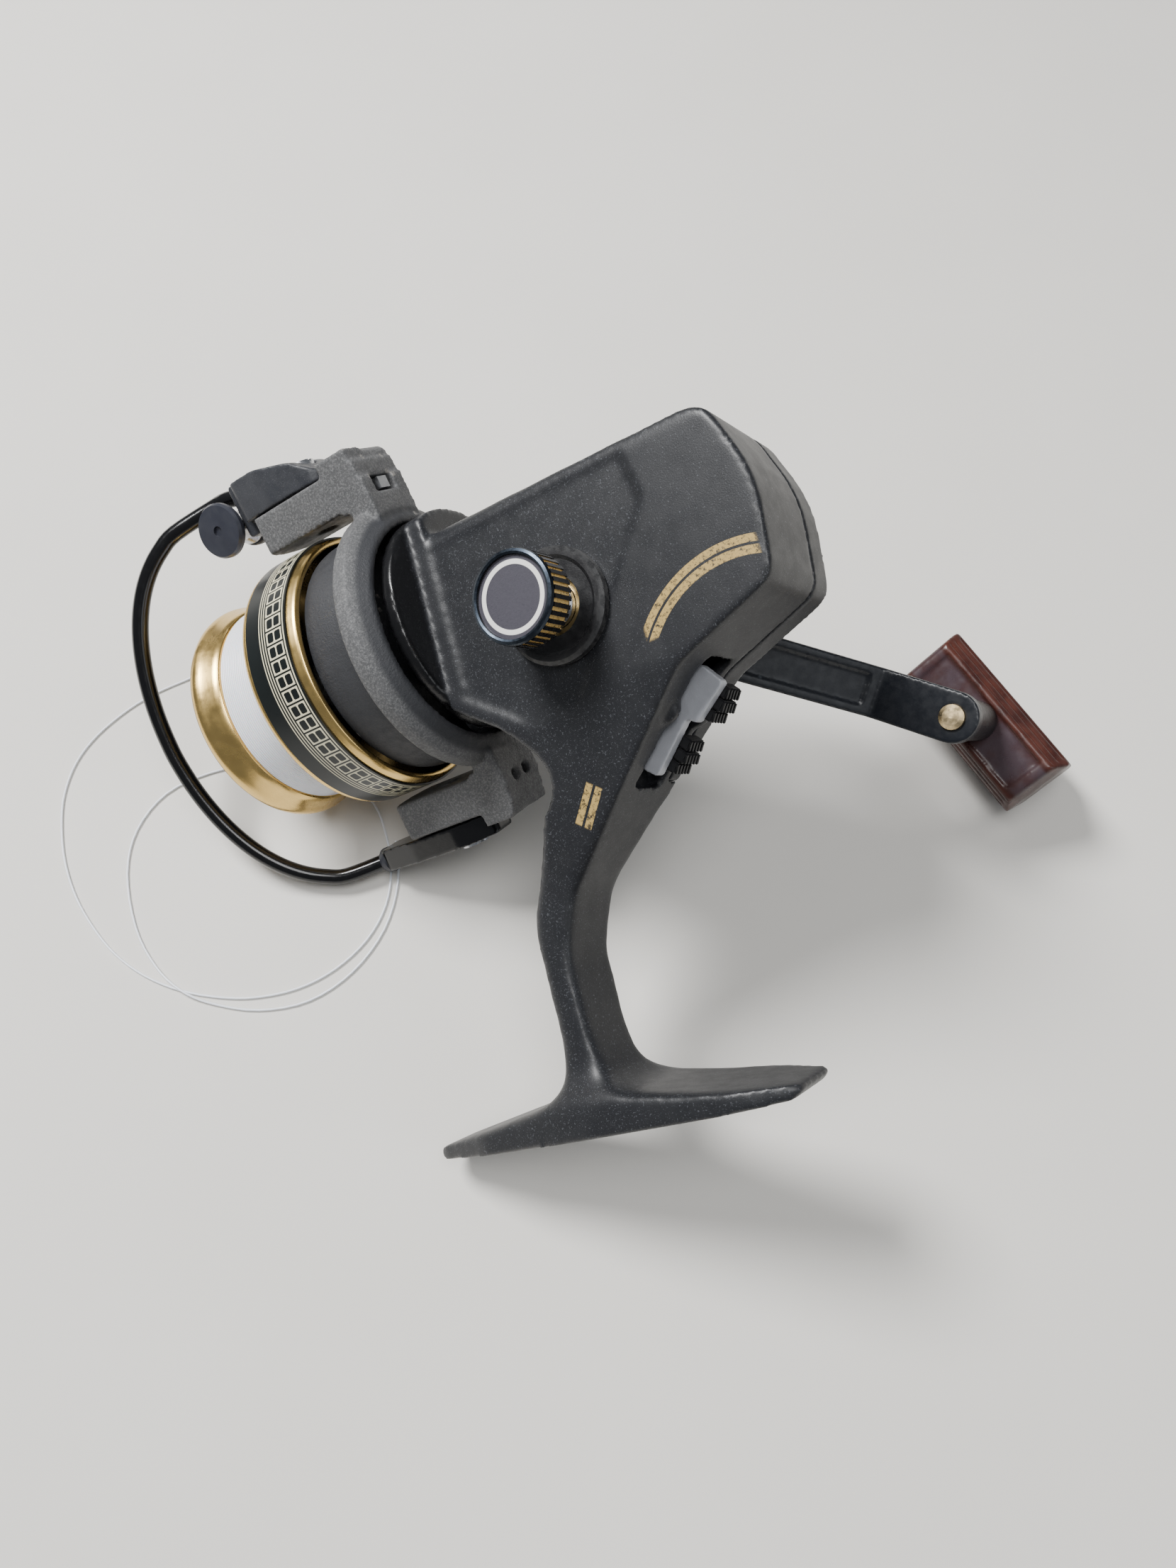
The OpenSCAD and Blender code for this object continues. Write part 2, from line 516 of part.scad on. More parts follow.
// Bail arm: a rounded lever on the first arm, with a hood that holds the wire and roller.
module bail_arm() color("#2b2c30") lay_down() arm_frame(0) difference() {
    union() {
        intersection() {
            translate([0, 0, bail_top]) linear_extrude(9) polygon(rounded([[30.4, -4, 3.4],
                [40, -5, 5], [46.6, -4.4, 1], [46.6, 4.4, 1], [40, 5, 5], [30.4, 4, 3.4]]));
            slab(-6, 6) polygon(rounded([[29, bail_top, 0.3], [30.4, bail_top + 1, 0.5],
                [35, bail_top + 4.4, 5], [41, bail_top + 6, 8], [46.6, bail_top + 6.2, 0.8],
                [46.6, bail_top, 0.3]], 6));
        }
        slab(-2.7, 2.7) polygon(rounded([[40, bail_top + 1, 0.3], [46, bail_top + 1, 0.3],
            [46, 25.4, 0.4], [hood_x, 25.4, 0.4], [hood_x, wire_in + 1.6, 0.4],
            [46, wire_in + 1.6, 0.4], [40, bail_top + 5, 3]]));
        translate([roller_at[0] - 4.8, -4.3, roller_at[1] - 2]) cube([4.8, 1.6, 4]);
        translate([roller_at[0], -2.7, roller_at[1]]) rotate([90, 0, 0])
            cylinder(h = 1.6, r = 3.2, $fn = 48);
    }
    translate([pivot_x, 0, 20]) cylinder(h = 20, r = 1.48 + fit, $fn = 48);
    translate([pivot_x, 0, bail_top + 2.9]) cylinder(h = 6, r = 2.8, $fn = 48);
    translate([roller_at[0], 3, roller_at[1]]) rotate([90, 0, 0])
        cylinder(h = 12, r = 1, $fn = 48);
}
module roller_screw() color("#3c3d44") lay_down() arm_frame(0)
    translate([roller_at[0], 0, roller_at[1]]) rotate([-90, 0, 0]) difference() {
        union() {
            translate([0, 0, -4]) cylinder(h = 8, r = 0.98, $fn = 48);
            rotate_extrude($fn = 64) polygon([[0, 3.2], [4, 3.2], [4.2, 3.5], [4.2, 4.1],
                [3.9, 4.6], [0, 4.8]]);
        }
        translate([0, 0, 4.4]) cylinder(h = 2, r = 0.8, $fn = 32);
    }
module line_roller() color("#c3c5c8") lay_down() arm_frame(0)
    translate([roller_at[0], 0, roller_at[1]]) rotate([-90, 0, 0]) rotate_extrude($fn = 64)
        polygon([[1 + fit, -2.4], [2.8, -2.4], [2.8, -1.9], [2.1, -0.6], [2.1, 1.2],
            [2.8, 2.5], [2.8, 2.9], [1 + fit, 2.9]]);
// Bail wire: half an oval in its leaning plane, from one side of the rotor to the other.
wire_root = 54;
wire_reach = 24;
wire_half = 31;
wire_foot = -29.4;   // where it enters its plain end
function wire_point(a) = let (u = wire_reach * pow(max(0, sin(a)), 0.8), v = -wire_half * cos(a))
    [wire_root + u * cos(bail_lean), u * sin(bail_lean), v + (a < 90 ? 1.2 : -1.8 * cos(a))];
wire_points = concat([[50.5, 0, wire_foot], [53.7, 0, wire_foot], [55, 0.2, wire_foot]],
    [for (a = [14 : 8 : 166]) wire_point(a)],
    [[54, 0.4, 32.8], [51.6, 0.1, 32.8], [49.8, 0, 32.4], [hood_x + 0.5, 0, wire_in],
        [hood_x + 0.02, 0, wire_in]]);
// A round tube along a list of points: every ring stands square to the path.
function unit(v) = v / norm(v);
function path_dir(p, k) = unit(p[min(k + 1, len(p) - 1)] - p[max(k - 1, 0)]);
module swept(p, d, sides, up = [0, 1, 0]) {
    n = len(p);
    rings = [for (k = [0 : n - 1]) let (t = path_dir(p, k), a = unit(cross(t, up)),
        b = cross(t, a)) for (s = [0 : sides - 1])
        p[k] + d / 2 * (a * cos(s * 360 / sides) + b * sin(s * 360 / sides))];
    ends = [[for (s = [0 : sides - 1]) s],
        [for (s = [0 : sides - 1]) (n - 1) * sides + sides - 1 - s]];
    walls = [for (k = [0 : n - 2], s = [0 : sides - 1]) let (t = (s + 1) % sides)
        each [[k * sides + s, (k + 1) * sides + s, (k + 1) * sides + t],
            [k * sides + s, (k + 1) * sides + t, k * sides + t]]];
    polyhedron(points = rings, faces = concat(ends, walls));
}
module bail_wire() color("#0d0d0f") lay_down() arm_frame(0) swept(wire_points, bail_d, 12);
module bail_end() color("#0d0d0f") lay_down() arm_frame(0) difference() {
    translate([0, 0, -bail_top - 3.6]) linear_extrude(3.6) polygon(rounded([[30.4, -2.6, 1.6],
        [36, -4.8, 5], [46, -4, 10], [53.6, -2.6, 1.4], [53.6, 2.6, 1.4], [46, 4, 10],
        [36, 4.8, 5], [30.4, 2.6, 1.6]]));
    translate([pivot_x, 0, -40]) cylinder(h = 20, r = 1.48 + fit, $fn = 48);
    translate([pivot_x, 0, -bail_top - 4]) cylinder(h = 1.2, r = 2.8, $fn = 48);
    translate([pivot_x, 0, -36]) cylinder(h = 36 - 30.3, r = 2.8, $fn = 48);
    rod(bail_d / 2 + 0.02, 50.4, 60, [0, wire_foot]);
}

// ---- spool ---------------------------------------------------------------------------
module spool() color("#b5893c") lay_down() turned([[shaft_r + fit, 48], [7.6, 48], [7.6, 45.4],
    [18.4, 45.4], [18.5, spool_x], [19.6, spool_x], [skirt_r - 0.2, band_x], [skirt_r - 0.2, 45.4],
    [skirt_r, 45.4], [skirt_r, 46.2], [19.6, 46.7], [12, 46.7], [12, 56.2], [16.3, 56.2],
    [lip_r - 0.2, 59.4], [lip_r, 60.2], [lip_r - 0.3, 61.4], [lip_r - 1, 61.7],
    [10.4, 61.2], [10.4, 54], [shaft_r + fit, 54]]);
module skirt_band() color("#20221f") lay_down()
    tube(skirt_r - 0.18, skirt_r + 0.1, band_x + 0.02, 45.38);
module wound_line() color("#eef0f2") lay_down()
    tube(12.02, line_r, 46.72, 56.18);
module click_wheel() color("#8b8e93") lay_down() difference() {
    tube(shaft_r + fit + 0.4, 6.6, 46.4, 47.9);
    for (k = [0 : 15]) translate([45, 0, -shaft_drop]) rotate([k * 22.5, 0, 0])
        translate([0, 6.7, 0]) rotate([0, 90, 0]) cylinder(h = 4, r = 0.6, $fn = 24);
}
module spool_washer() color("#e8e2d0") lay_down() tube(shaft_r, 4.4, 44.9, 45.9);
module drag_washers() color("#5a5048") lay_down() for (k = [0 : 2])
    tube(shaft_r + fit + 0.2, 9.8, 54.02 + k * 1.1, 54.92 + k * 1.1);
module drag_clip() color("silver") lay_down() difference() {
    tube(9.6, 10.38, 57.4, 58);
    translate([57, -2, -shaft_drop]) cube([2, 4, 20]);
}
module drag_knob() color("#17181a") lay_down() difference() {
    turned([[shaft_r + fit, 58.3], [9, 58.3], [9.2, 58.8], [9.2, 64.6], [8.4, 65.6], [4, 66],
        [0, 66], [0, 63.9], [shaft_r + fit, 63.9]]);
    for (k = [0 : 11]) translate([62, 0, -shaft_drop]) rotate([k * 30, 0, 0])
        translate([0, 10.2, 0]) rotate([0, 90, 0]) cylinder(h = 6, r = 1.7, $fn = 32);
}

// ---- free line -----------------------------------------------------------------------
// Its route lies in the part's own frame: over the spool's lip, down to the ground, round
// the outer loop, under the spool and round the inner loop, which crosses over the outer.
line_z = 0.22;
cross_z = 0.68;
line_route = [[-48.3, 38.7, 15.3], [-49.9, 39.4, 14.1], [-51.4, 40.2, 12.9],
    [-53.1, 40.6, 11.7], [-56.4, 41.3, 8.9], [-61, 42, 5.3], [-66, 42, 2.4],
    [-71, 40.6, 0.65], [-75.6, 38.6, line_z], [-80.7, 36.4, line_z],
    [-85.7, 33.3, line_z], [-90.8, 28.5, line_z], [-94, 23.3, line_z],
    [-95.4, 17.3, line_z], [-95.2, 11.3, line_z], [-93.9, 4.7, line_z],
    [-91.4, -1.7, line_z], [-87.9, -7.4, line_z], [-83.9, -12.2, line_z],
    [-78.8, -16.2, line_z], [-72.8, -19.1, line_z], [-66.6, -20.7, line_z],
    [-60.8, -21.2, line_z], [-54.2, -20.3, line_z], [-48.2, -17.6, line_z],
    [-43.1, -13.1, line_z], [-40, -7.5, line_z], [-39, -1.1, line_z],
    [-39.8, 4.9, line_z], [-41.8, 10.9, line_z], [-46.6, 16.2, line_z],
    [-53.6, 19.2, line_z], [-62.1, 20.3, line_z], [-70.2, 19.4, line_z],
    [-77.7, 16, line_z], [-82.2, 9.6, line_z], [-83.2, 1.8, line_z],
    [-81, -7.8, line_z], [-77.2, -14.7, 0.32], [-72.8, -19.1, cross_z],
    [-67.8, -21.6, 0.32], [-60.2, -23.3, line_z], [-52.2, -22.4, line_z],
    [-45.3, -18.2, line_z], [-40.2, -11.5, line_z], [-37.9, -3.5, line_z],
    [-38.2, 3.9, line_z]];
// A smooth curve through a list of points, with one new point between each two.
function smooth(p) = [for (k = [0 : len(p) - 2]) each [p[k], middle(p[max(k - 1, 0)], p[k],
    p[k + 1], p[min(k + 2, len(p) - 1)])], p[len(p) - 1]];
function middle(a, b, c, d) = (9 * (b + c) - a - d) / 16;
module loose_line() color("#dfe6ea") swept(smooth(line_route), line_d, 8, [0, 0, 1]);

housing();
side_cover();
cover_screws();
bearing_collar();
near_bush();
far_bush();
main_bearing();
bearing_plate();
plate_screws();
drive_gear();
drive_axle();
axle_screw();
handle_cap();
cap_rim();
cap_disc();
handle_arm();
knob_rivet();
knob_collar();
handle_knob();
oscillation_gear();
gear_post();
slider();
slider_screw();
main_shaft();
reverse_lever();
lever_pin();
thumb_pads();
pawl_shaft();
pawl();
pawl_spring();
ratchet();
pinion();
rotor();
rotor_nut();
bail_arm();
bail_wire();
bail_end();
line_roller();
roller_screw();
pivot_screws();
bail_spring();
trip_lever();
trip_pin();
spool();
skirt_band();
wound_line();
click_wheel();
spool_washer();
drag_washers();
drag_clip();
drag_knob();
loose_line();
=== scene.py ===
"""Looks of a small spinning reel that lies on its handle side.

Shapes are worked out in the reel's own axes, in millimetres: X forward along the main
shaft, Y toward the handle, Z toward the foot, with the drive axle at the origin. LAY
puts them in the part's frame, in metres.
"""

import json
from math import cos, pi, radians, sin

import bmesh
import bpy
from mathutils import Euler, Matrix, Vector


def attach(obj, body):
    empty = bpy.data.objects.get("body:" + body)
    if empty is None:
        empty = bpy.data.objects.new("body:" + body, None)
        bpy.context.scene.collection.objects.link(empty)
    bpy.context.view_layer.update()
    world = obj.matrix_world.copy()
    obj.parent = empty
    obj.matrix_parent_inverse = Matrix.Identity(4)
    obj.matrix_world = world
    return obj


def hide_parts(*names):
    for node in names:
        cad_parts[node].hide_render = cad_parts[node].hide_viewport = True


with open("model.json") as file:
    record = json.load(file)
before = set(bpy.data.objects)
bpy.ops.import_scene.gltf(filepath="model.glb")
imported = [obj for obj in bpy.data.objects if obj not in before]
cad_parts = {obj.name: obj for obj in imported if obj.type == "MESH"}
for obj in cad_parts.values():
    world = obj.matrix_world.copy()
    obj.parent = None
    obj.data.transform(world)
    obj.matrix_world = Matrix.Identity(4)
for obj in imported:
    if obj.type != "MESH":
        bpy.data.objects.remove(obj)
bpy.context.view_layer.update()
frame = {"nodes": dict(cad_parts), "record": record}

# ---- the part's dimensions, in millimetres and degrees, as in the CAD source ---------
MM = 0.001
ROLL, NOSE, HEADING = -109.1, 34.74, 180
LIE = (-2.95, 15.44, 47.35)
SHAFT_DROP = 7.5
ROTOR_TURN = 19
BAND_X = 37.2
CRANK, CRANK_TURN = 40.5, 143
KNOB_Y, KNOB_TURN = 55, 32
SKIRT_R, LIP_R, LINE_R = 20.1, 17.8, 16.1
BAIL_D, BAIL_LEAN = 2.6, 30
LINE_D = 0.4

# printed marks: the centre of the arcs and the direction of the stem's stripes, in X and
# Z, then the band's links round the skirt, and its rows and pale lines along the shaft
ARC_AT = (-23.5, 17.8)
STRIPE_X, STRIPE_Z = 0.64, 0.768
BAND_LINKS = 57
BAND_ROWS = (38.95, 40.35)
BAND_LINES = ((37.62, 37.84), (41.5, 41.68), (41.98, 42.16), (42.46, 42.64))

TURN = Euler((radians(ROLL), radians(NOSE), radians(HEADING)), "XYZ")
LAY = Matrix.Translation(Vector(LIE) * MM) @ TURN.to_matrix().to_4x4() @ Matrix.Scale(MM, 4)
SHAFT = LAY @ Matrix.Translation((0, 0, -SHAFT_DROP))
ARM = SHAFT @ Matrix.Rotation(radians(180 - ROTOR_TURN), 4, "X")
KNOB_AT = (CRANK * cos(radians(CRANK_TURN)), KNOB_Y, CRANK * sin(radians(CRANK_TURN)))
KNOB_SPIN = radians(KNOB_TURN - CRANK_TURN)
KNOB = LAY @ Matrix.Translation(KNOB_AT) @ Matrix.Rotation(KNOB_SPIN, 4, "Y")


# ---- node materials ------------------------------------------------------------------
class Look:
    """A procedural material. Its coordinates are the reel's own, in millimetres."""

    def __init__(self, name, rough=0.5, metal=0.0, specular=0.5, coat=0.0):
        self.material = bpy.data.materials.new(name)
        self.material.use_nodes = True
        self.links = self.material.node_tree.links
        self.nodes = self.material.node_tree.nodes
        self.shader = self.nodes["Principled BSDF"]
        self.shader.inputs["Roughness"].default_value = rough
        self.shader.inputs["Metallic"].default_value = metal
        self.shader.inputs["Specular IOR Level"].default_value = specular
        self.shader.inputs["Coat Weight"].default_value = coat
        self.shader.inputs["Coat Roughness"].default_value = 0.12
        place = self.node("ShaderNodeTexCoord")
        mapping = self.node("ShaderNodeMapping", Vector=place.outputs["Object"])
        mapping.vector_type = "TEXTURE"
        mapping.inputs["Location"].default_value = Vector(LIE) * MM
        mapping.inputs["Rotation"].default_value = TURN
        mapping.inputs["Scale"].default_value = (MM, MM, MM)
        self.place = mapping.outputs[0]
        split = self.node("ShaderNodeSeparateXYZ", Vector=self.place)
        self.x, self.y, self.z = split.outputs

    def node(self, kind, **inputs):
        made = self.nodes.new(kind)
        for key, value in inputs.items():
            self.put(made.inputs[key.replace("_", " ")], value)
        return made

    def put(self, socket, value):
        if isinstance(value, bpy.types.NodeSocket):
            self.links.new(value, socket)
        else:
            socket.default_value = value

    def math(self, kind, *values):
        made = self.nodes.new("ShaderNodeMath")
        made.operation = kind
        for socket, value in zip(made.inputs, values):
            self.put(socket, value)
        return made.outputs[0]

    def noise(self, scale, detail=4.0, stretch=None, rough=0.55):
        vector = self.place
        if stretch:
            vector = self.node("ShaderNodeMapping", Vector=vector, Scale=stretch).outputs[0]
        made = self.node("ShaderNodeTexNoise", Vector=vector, Scale=scale, Detail=detail,
                         Roughness=rough)
        return made.outputs["Fac"]

    def times(self, first, *others):
        """The product of several values or shares."""
        for other in others:
            first = self.math("MULTIPLY", first, other)
        return first

    def worn_edges(self, low, high, scale, noise_low, noise_high, share):
        """A share of wear on the edges, broken up by noise."""
        patches = self.step(self.noise(scale, 4.0), noise_low, noise_high)
        return self.times(self.edges(low, high), patches, share)

    def step(self, value, low, high, to_low=0.0, to_high=1.0):
        """value from low to high, mapped smoothly and clamped."""
        made = self.node("ShaderNodeMapRange", Value=value)
        made.interpolation_type = "SMOOTHSTEP"
        for key, number in zip(("From Min", "From Max", "To Min", "To Max"),
                               (low, high, to_low, to_high)):
            made.inputs[key].default_value = number
        return made.outputs[0]

    def between(self, value, low, high, soft=0.04):
        """1 where value is between two limits."""
        rise = self.step(value, low - soft, low + soft)
        fall = self.step(value, high - soft, high + soft, 1.0, 0.0)
        return self.times(rise, fall)

    def mix(self, share, first, second):
        made = self.nodes.new("ShaderNodeMix")
        made.data_type = "RGBA"
        for key, value in ((0, share), (6, first), (7, second)):
            if isinstance(value, tuple):
                value = (*value, 1.0)
            self.put(made.inputs[key], value)
        return made.outputs[2]

    def radius(self, first, second, at=(0.0, 0.0)):
        """Distance from a line along the third axis."""
        a = self.math("SUBTRACT", first, at[0])
        b = self.math("SUBTRACT", second, at[1])
        return self.math("SQRT", self.math("ADD", self.times(a, a), self.times(b, b)))

    def edges(self, low, high):
        """1 on the outside edges of a dense mesh."""
        return self.step(self.node("ShaderNodeNewGeometry").outputs["Pointiness"], low, high)

    def color(self, value):
        self.put(self.shader.inputs["Base Color"], value)

    def rough(self, value):
        self.put(self.shader.inputs["Roughness"], value)

    def bump(self, height, strength, depth):
        made = self.node("ShaderNodeBump", Height=height, Strength=strength)
        made.inputs["Distance"].default_value = depth * MM
        self.put(self.shader.inputs["Normal"], made.outputs[0])
        return self


def speckle(look, scale, low, high):
    """Sparse pale specks of dust and bare spots."""
    return look.step(look.noise(scale, 2.0), low, high)


def scratches(look):
    """Fine scratches in two directions."""
    first = look.step(look.noise(1.6, 2.0, (1, 1, 14)), 0.66, 0.72)
    second = look.step(look.noise(1.1, 2.0, (16, 1, 1.5)), 0.68, 0.73)
    return look.math("MAXIMUM", first, second)


def body_look():
    """Blue-black plastic with worn gold pinstripes, and a glossier round front flange painted
    near-black as shade.
    """
    look = Look("body_plastic", rough=0.42, specular=0.42)
    base = look.mix(look.noise(0.12, 3.0), (0.0090, 0.0095, 0.0112), (0.0125, 0.0132, 0.0155))
    dust = look.times(speckle(look, 3.8, 0.62, 0.68), 0.5)
    base = look.mix(dust, base, (0.085, 0.090, 0.100))
    base = look.mix(look.times(scratches(look), 0.4), base, (0.14, 0.145, 0.16))
    # two pinstripes along the rear of the near side, and two short ones on the stem
    out = look.radius(look.x, look.z, ARC_AT)
    arc = look.math("MAXIMUM", look.between(out, 15.45, 16.45), look.between(out, 14.0, 15.1))
    arc = look.times(arc, look.between(look.x, -28.0, -11.0, 0.3), look.step(look.z, 9.3, 8.7),
                     look.step(look.y, -8.2, -8.6))
    along = look.math("ADD", look.times(look.x, STRIPE_X), look.times(look.z, STRIPE_Z))
    across = look.math("SUBTRACT", look.times(look.x, STRIPE_Z), look.times(look.z, STRIPE_X))
    bar = look.math("MAXIMUM", look.between(across, -13.8, -12.8),
                    look.between(across, -12.4, -11.4))
    bar = look.times(bar, look.between(along, 19.8, 25.6, 0.15), look.step(look.y, -5.2, -5.6))
    worn = look.step(look.noise(1.6, 6.0, rough=0.8), 0.38, 0.52)
    stripes = look.times(look.math("MAXIMUM", arc, bar), worn, 0.9)
    base = look.mix(stripes, base, (0.42, 0.29, 0.10))
    # the round front flange: painted shade, near-black, where it faces the rotor; it is also
    # glossier
    flange = look.times(look.step(look.x, 20.2, 20.5), look.step(look.z, 24.0, 22.0))
    look.color(look.mix(flange, base, (0.0035, 0.0035, 0.004)))
    sheen = look.step(look.noise(0.35, 5.0), 0.3, 0.7, 0.38, 0.45)
    look.rough(look.math("SUBTRACT", sheen, look.times(flange, 0.16)))
    return look.bump(look.noise(5.0, 3.0), 0.3, 0.05).material


def cast_look(name, dark, light, rough, grain, depth, metal=0.0, worn=(0.42, 0.42, 0.42)):
    """Coarse cast or moulded surface with worn edges."""
    look = Look(name, rough=rough, metal=metal, specular=0.4)
    base = look.mix(look.noise(0.25, 5.0), dark, light)
    base = look.mix(look.times(speckle(look, grain * 2, 0.58, 0.74), 0.22), base, worn)
    look.color(look.mix(look.worn_edges(0.535, 0.62, 1.2, 0.32, 0.58, 0.6), base, worn))
    look.rough(look.step(look.noise(0.8, 4.0), 0.3, 0.7, rough - 0.08, rough + 0.1))
    return look.bump(look.noise(grain, 5.0, rough=0.65), 0.5, depth).material


def rotor_look():
    """Scuffed pale arms and rear ring, and a smoother dark drum."""
    look = Look("rotor_grey", rough=0.55, specular=0.38)
    out = look.radius(look.y, look.z, (0.0, -SHAFT_DROP))
    scuffed = look.mix(look.noise(0.3, 5.0), (0.052, 0.053, 0.055), (0.088, 0.088, 0.090))
    grain = look.step(look.noise(3.2, 4.0, rough=0.75), 0.46, 0.62)
    scuffed = look.mix(look.times(grain, 0.6), scuffed, (0.17, 0.17, 0.17))
    drum = look.mix(look.noise(0.22, 4.0), (0.019, 0.020, 0.023), (0.034, 0.035, 0.039))
    base = look.mix(look.step(out, 18.7, 19.6), drum, scuffed)
    wear = look.worn_edges(0.535, 0.62, 1.2, 0.3, 0.56, 0.6)
    look.color(look.mix(wear, base, (0.32, 0.30, 0.27)))
    look.rough(look.step(look.noise(0.8, 4.0), 0.3, 0.7, 0.46, 0.62))
    return look.bump(look.noise(2.6, 5.0, rough=0.7), 0.8, 0.14).material


def metal_look(name, color, rough):
    """Machined metal with fine tool marks."""
    look = Look(name, rough=rough, metal=1.0)
    dark = tuple(c * 0.75 for c in color)
    base = look.mix(look.noise(0.6, 5.0), color, dark)
    look.color(look.mix(look.times(speckle(look, 4.0, 0.62, 0.72), 0.25), base, dark))
    look.rough(look.step(look.noise(1.5, 4.0), 0.3, 0.7, rough * 0.8, rough * 1.25))
    return look.bump(look.noise(3.0, 4.0), 0.2, 0.02).material


def plain_look(name, dark, light, rough, specular=0.4, depth=0.03, dust=0.12):
    """Moulded or painted surface with slight mottling, dust and haze."""
    look = Look(name, rough=rough, specular=specular)
    base = look.mix(look.noise(0.3, 4.0), dark, light)
    pale = tuple(min(1.0, c * 2 + 0.04) for c in light)
    look.color(look.mix(look.times(speckle(look, 3.2, 0.68, 0.76), dust), base, pale))
    look.rough(look.step(look.noise(0.9, 4.0), 0.3, 0.7, rough * 0.85, rough * 1.2))
    return look.bump(look.noise(4.0, 3.0), 0.25, depth).material


def arm_look():
    """Blue-black painted metal, rubbed pale along its edges."""
    look = Look("arm_paint", rough=0.36, specular=0.4)
    base = look.mix(look.noise(0.25, 4.0), (0.0045, 0.0055, 0.0080), (0.0090, 0.0105, 0.0145))
    wear = look.worn_edges(0.53, 0.6, 0.9, 0.3, 0.55, 0.5)
    look.color(look.mix(wear, base, (0.075, 0.085, 0.10)))
    look.rough(look.step(look.noise(0.7, 4.0), 0.3, 0.7, 0.3, 0.44))
    return look.bump(look.noise(2.4, 4.0), 0.25, 0.04).material


def gold_look():
    """Anodised gold, turned: fine rings round the main shaft. The skirt's inside is painted dark
    as shade.
    """
    look = Look("spool_gold", rough=0.26, metal=1.0)
    base = look.mix(look.noise(0.12, 3.0), (0.82, 0.58, 0.22), (0.72, 0.49, 0.17))
    scuffs = look.times(speckle(look, 3.0, 0.68, 0.78), 0.15)
    base = look.mix(scuffs, base, (0.46, 0.32, 0.15))
    out = look.radius(look.y, look.z, (0.0, -SHAFT_DROP))
    # painted shade: the inside of the skirt is darkened
    inside = look.times(look.step(out, 18.85, 18.6), look.step(look.x, 45.6, 45.3))
    look.color(look.mix(inside, base, (0.035, 0.028, 0.018)))
    look.rough(look.step(look.noise(0.4, 4.0), 0.3, 0.7, 0.21, 0.31))
    return look.bump(look.math("SINE", look.times(look.x, 26.0)), 0.05, 0.01).material


def band_look():
    """Printed band: a chain of paired links between thin pale lines, on black."""
    look = Look("band_print", rough=0.3, specular=0.4)
    turn = look.math("ARCTAN2", look.y, look.math("ADD", look.z, SHAFT_DROP))
    link = look.math("FRACT", look.times(turn, BAND_LINKS / (2 * pi)))
    along = look.math("ABSOLUTE", look.math("SUBTRACT", link, 0.5))
    along = look.times(along, 2 * pi * SKIRT_R / BAND_LINKS)
    holes = None
    for row in BAND_ROWS:
        across = look.math("ABSOLUTE", look.math("SUBTRACT", look.x, row))
        far = look.radius(look.math("MAXIMUM", look.math("SUBTRACT", along, 0.46), 0.0),
                          look.math("MAXIMUM", look.math("SUBTRACT", across, 0.3), 0.0))
        hole = look.step(far, 0.31, 0.25)
        holes = hole if holes is None else look.math("MAXIMUM", holes, hole)
    pale = look.times(look.between(look.x, 38.1, 41.2), look.step(along, 1.0, 0.94),
                      look.math("SUBTRACT", 1.0, holes))
    for low, high in BAND_LINES:
        pale = look.math("MAXIMUM", pale, look.between(look.x, low, high))
    worn = look.step(look.noise(2.2, 4.0, rough=0.7), 0.24, 0.4)
    ground = look.mix(look.noise(0.5), (0.003, 0.004, 0.004), (0.006, 0.009, 0.009))
    look.color(look.mix(look.times(pale, worn), ground, (0.60, 0.56, 0.40)))
    return look.bump(pale, 0.25, 0.02).material


def wound_look():
    """White line wound in close turns."""
    look = Look("wound_line", rough=0.4, specular=0.5)
    look.color(look.mix(look.noise(0.5, 3.0, (6, 1, 1)), (0.88, 0.89, 0.92), (0.72, 0.75, 0.82)))
    look.shader.inputs["Subsurface Weight"].default_value = 0.15
    look.shader.inputs["Subsurface Scale"].default_value = 0.5 * MM
    slant = look.math("ADD", look.times(look.x, 2 * pi / LINE_D), look.times(look.y, 0.7))
    return look.bump(look.math("SINE", slant), 0.5, 0.08).material


def cap_look():
    """Gloss black grip: the floors between its ribs are gold."""
    look = Look("cap_black", rough=0.24, specular=0.5, coat=0.2)
    out = look.radius(look.x, look.z)
    floor = look.times(look.between(out, 5.55, 5.84, 0.02), look.between(look.y, -19.75, -16.3),
                       look.step(look.noise(3.0, 4.0), 0.3, 0.45))
    base = look.mix(look.noise(0.8), (0.003, 0.003, 0.0035), (0.009, 0.009, 0.010))
    look.color(look.mix(floor, base, (0.62, 0.43, 0.16)))
    look.rough(look.step(look.noise(1.4), 0.3, 0.7, 0.18, 0.34))
    return look.bump(look.noise(6.0, 3.0), 0.2, 0.02).material


def disc_look():
    """Dark brushed disc with a pale ring."""
    look = Look("cap_disc", rough=0.4, metal=0.2)
    out = look.radius(look.x, look.z)
    ring = look.between(out, 4.0, 4.62, 0.05)
    brushed = look.noise(3.5, 3.0, (1, 1, 8))
    base = look.mix(brushed, (0.030, 0.028, 0.036), (0.080, 0.076, 0.094))
    marks = look.times(speckle(look, 5.0, 0.64, 0.74), 0.4)
    base = look.mix(marks, base, (0.012, 0.012, 0.02))
    look.color(look.mix(ring, base, (0.78, 0.77, 0.74)))
    return look.bump(brushed, 0.3, 0.02).material


